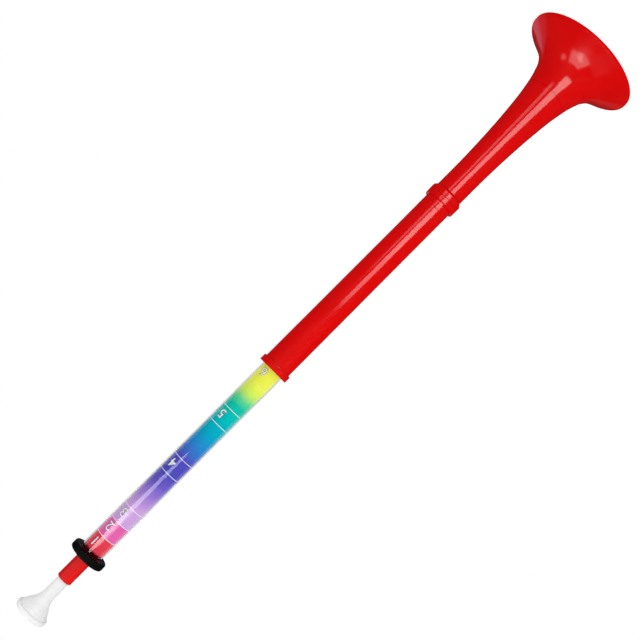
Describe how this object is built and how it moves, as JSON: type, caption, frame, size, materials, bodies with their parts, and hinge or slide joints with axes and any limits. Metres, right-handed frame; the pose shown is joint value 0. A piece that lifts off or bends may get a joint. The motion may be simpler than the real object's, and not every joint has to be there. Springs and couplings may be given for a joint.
{
  "type": "slide trumpet",
  "caption": "Straight plastic slide trumpet: flared bell, red outer tube, clear telescoping slide with a printed scale, bumper ring and pull-off mouthpiece.",
  "frame": {"origin": "on the tube's axis in the plane of the bell's rim", "axes": "+Z along the tube's axis from the bell to the mouthpiece, +X and +Y across it"},
  "size_m": [0.119, 0.119, 0.7258],
  "materials": {
    "red_plastic": "glossy moulded red",
    "white_plastic": "glossy moulded white",
    "clear_plastic": "clear, polished",
    "printed_film": "printed in a rainbow of colours with plain numerals",
    "grey_plastic": "satin moulded grey",
    "black_rubber": "smooth black with a soft gloss"
  },
  "bodies": {
    "outer_slide": {"bell_flare": "red_plastic", "bell_stem": "red_plastic", "joint_collar": "red_plastic", "outer_slide_tube": "red_plastic", "end_collar": "red_plastic"},
    "guide": {"guide_ring": "grey_plastic"},
    "inner_slide": {"slide_head": "grey_plastic", "slide_seal": "black_rubber", "clear_slide_tube": "clear_plastic", "scale_sleeve": "printed_film", "airway_liner": "white_plastic", "bumper_ring": "black_rubber", "mouthpiece_receiver": "red_plastic"},
    "mouthpiece": {"mouthpiece": "white_plastic"}
  },
  "joints": [
    {"name": "slide_spin", "type": "hinge", "parent": "outer_slide", "child": "guide", "pos_m": [0, 0, 0.4139], "axis": [0, 0, 1], "continuous": true},
    {"name": "slide_travel", "type": "slide", "parent": "guide", "child": "inner_slide", "axis": [0, 0, -1], "range_m": [0, 0.231]},
    {"name": "mouthpiece_pull", "type": "slide", "parent": "inner_slide", "child": "mouthpiece", "axis": [0, 0, 1], "range_m": [0, 0.026]}
  ]
}
